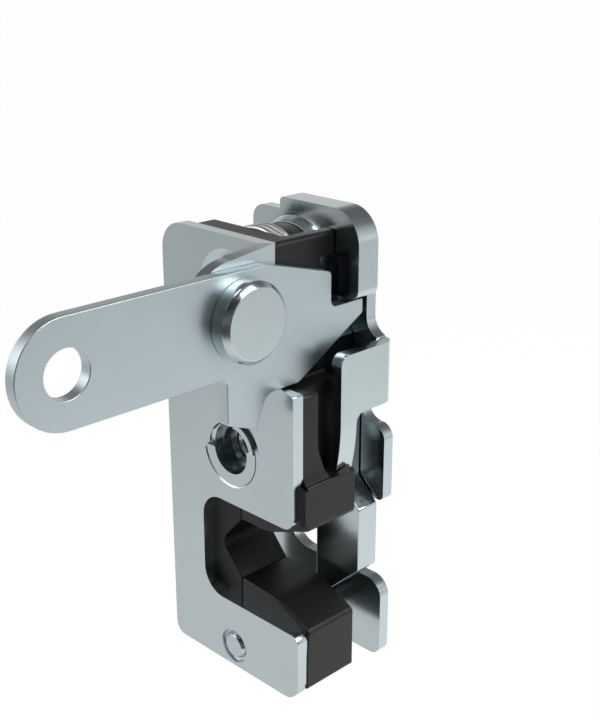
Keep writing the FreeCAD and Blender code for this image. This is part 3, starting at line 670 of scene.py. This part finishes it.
away = math_of(tree, "SQRT", squares)
# painted light and shade on the floor, seen only in reflections, with a painted shadow below the latch
side_light = ramp(tree, to_right, RIGHT_SPAN, RIGHT_LEVELS)
near_light = ramp(tree, away, FAR_SPAN, FAR_LEVELS)
dark_side = ramp(tree, to_viewer, VIEWER_SPAN, VIEWER_LEVELS)
own_shadow = ramp(tree, away, SHADOW_SPAN, SHADOW_LEVELS)
shade = math_of(tree, "MULTIPLY", math_of(tree, "MULTIPLY", side_light, near_light),
                math_of(tree, "MULTIPLY", dark_side, own_shadow))
print("floor in reflections:", len(tree.nodes), "nodes")

# %% [markdown]
# The floor answers each kind of ray in its own way. The camera sees an even white glow with a
# small share of real white paint, which keeps the latch's shadow. Reflections see the
# brightness made above. All other light meets plain white paint.

# %% The floor's shader
FLOOR_WHITE = 0.95
FLOOR_GLOW = 1.03
PAINT = (0.9, 0.9, 0.9, 1)
path = add(tree, "LightPath")
diffuse = add(tree, "BsdfDiffuse")
diffuse.inputs["Color"].default_value = PAINT
glow = add(tree, "Emission")
glow.inputs["Strength"].default_value = FLOOR_GLOW
mirrored = add(tree, "Emission")
tree.links.new(shade, mirrored.inputs["Strength"])
seen = add(tree, "MixShader")
tree.links.new(math_of(tree, "MULTIPLY", path.outputs["Is Camera Ray"], FLOOR_WHITE), seen.inputs["Fac"])
tree.links.new(diffuse.outputs[0], seen.inputs[1])
tree.links.new(glow.outputs[0], seen.inputs[2])
blend = add(tree, "MixShader")
tree.links.new(path.outputs["Is Glossy Ray"], blend.inputs["Fac"])
tree.links.new(seen.outputs[0], blend.inputs[1])
tree.links.new(mirrored.outputs[0], blend.inputs[2])
tree.links.new(blend.outputs[0], add(tree, "OutputMaterial").inputs["Surface"])
floor_mesh.materials.append(white)
print("floor's white for the camera:", FLOOR_WHITE)

# %% [markdown]
# ## World
# The walls and the ceiling of the studio are the world. In reflections the ceiling is dimmer
# than the walls and the side behind the viewer is dark, which gives the metal its contrast. As a
# light the world counts less than half. The camera sees plain white.

# %% The world's brightness in reflections, by direction
UP_SPAN, UP_LEVELS = (0.05, 0.60), (0.90, 0.16)
BEHIND_SPAN, BEHIND_LEVELS = (0.3, 1.1), (1.0, 0.2)
world = bpy.data.worlds.new("studio")
bpy.context.scene.world = world
world.use_nodes = True
tree = world.node_tree
tree.nodes.clear()
direction = add(tree, "SeparateXYZ")
tree.links.new(add(tree, "TexCoord").outputs["Generated"], direction.inputs[0])
by_height = ramp(tree, direction.outputs["Z"], UP_SPAN, UP_LEVELS)
to_viewer = math_of(tree, "SUBTRACT", direction.outputs["X"], direction.outputs["Y"])
by_side = ramp(tree, to_viewer, BEHIND_SPAN, BEHIND_LEVELS)
shade = math_of(tree, "MULTIPLY", by_height, by_side)
print("world in reflections:", len(tree.nodes), "nodes")

# %% The world's shader
AS_LIGHT = 0.45
path = add(tree, "LightPath")
direct = math_of(tree, "MAXIMUM", path.outputs["Is Camera Ray"], path.outputs["Is Transmission Ray"])
seen = add(tree, "Background")
mirrored = add(tree, "Background")
light = add(tree, "Background")
for node in (seen, mirrored, light):
    node.inputs["Color"].default_value = (1, 1, 1, 1)
tree.links.new(shade, mirrored.inputs["Strength"])
tree.links.new(math_of(tree, "MULTIPLY", shade, AS_LIGHT), light.inputs["Strength"])
glossy = add(tree, "MixShader")
tree.links.new(path.outputs["Is Glossy Ray"], glossy.inputs["Fac"])
tree.links.new(light.outputs[0], glossy.inputs[1])
tree.links.new(mirrored.outputs[0], glossy.inputs[2])
blend = add(tree, "MixShader")
tree.links.new(direct, blend.inputs["Fac"])
tree.links.new(glossy.outputs[0], blend.inputs[1])
tree.links.new(seen.outputs[0], blend.inputs[2])
tree.links.new(blend.outputs[0], add(tree, "OutputWorld").inputs["Surface"])
print("world as a light:", AS_LIGHT)

# %% [markdown]
# ## Lamps
# Three soft lamps stand round the latch: a key on the right, a weak fill on the left, and a small
# one above that puts a glint on the rounded edges. Large lamps make soft shadows, and each one
# is turned so that it faces the latch.

# %% Three soft lamps
def soft_lamp(name, place, size, power):
    """Square lamp that faces the latch."""
    lamp = bpy.data.lights.new(name, "AREA")
    lamp.size = size
    lamp.energy = power
    holder = bpy.data.objects.new(name, lamp)
    bpy.context.scene.collection.objects.link(holder)
    holder.location = place
    holder.rotation_euler = (-Vector(place)).to_track_quat("-Z", "Y").to_euler()
    print(name, "power", power)


soft_lamp("key", place=(0.55, 0.25, 0.55), size=0.5, power=3.5)
soft_lamp("fill", place=(-0.5, -0.6, 0.4), size=0.6, power=1.5)
soft_lamp("top", place=(0.12, -0.12, 0.8), size=0.25, power=1.2)

# %% [markdown]
# ## Camera
# The camera's place, direction and lens were solved from the plates' parallel edges in the
# photo, so that the render lies over it edge on edge. The picture is upright, so the film's
# given side is its height.

# %% Camera
AZIMUTH = math.radians(45.311)
ELEVATION = math.radians(19.838)
CAMERA_PLACE = (0.12646, -0.12035, 0.07528)
LENS = 59.795
FILM_HEIGHT = 36
NEAREST_SEEN = 10 * MM
back = Vector((math.sin(AZIMUTH) * math.cos(ELEVATION), -math.cos(AZIMUTH) * math.cos(ELEVATION),
               math.sin(ELEVATION)))
lens = bpy.data.cameras.new("camera")
lens.lens = LENS
lens.sensor_width = FILM_HEIGHT
lens.clip_start = NEAREST_SEEN
camera = bpy.data.objects.new("camera", lens)
bpy.context.scene.collection.objects.link(camera)
camera.location = CAMERA_PLACE
camera.rotation_euler = (-back).to_track_quat("-Z", "Y").to_euler()
bpy.context.scene.camera = camera
bpy.context.scene.view_settings.view_transform = "Standard"
print("camera", round(camera.location.length / MM), "mm from the rotor's axis")
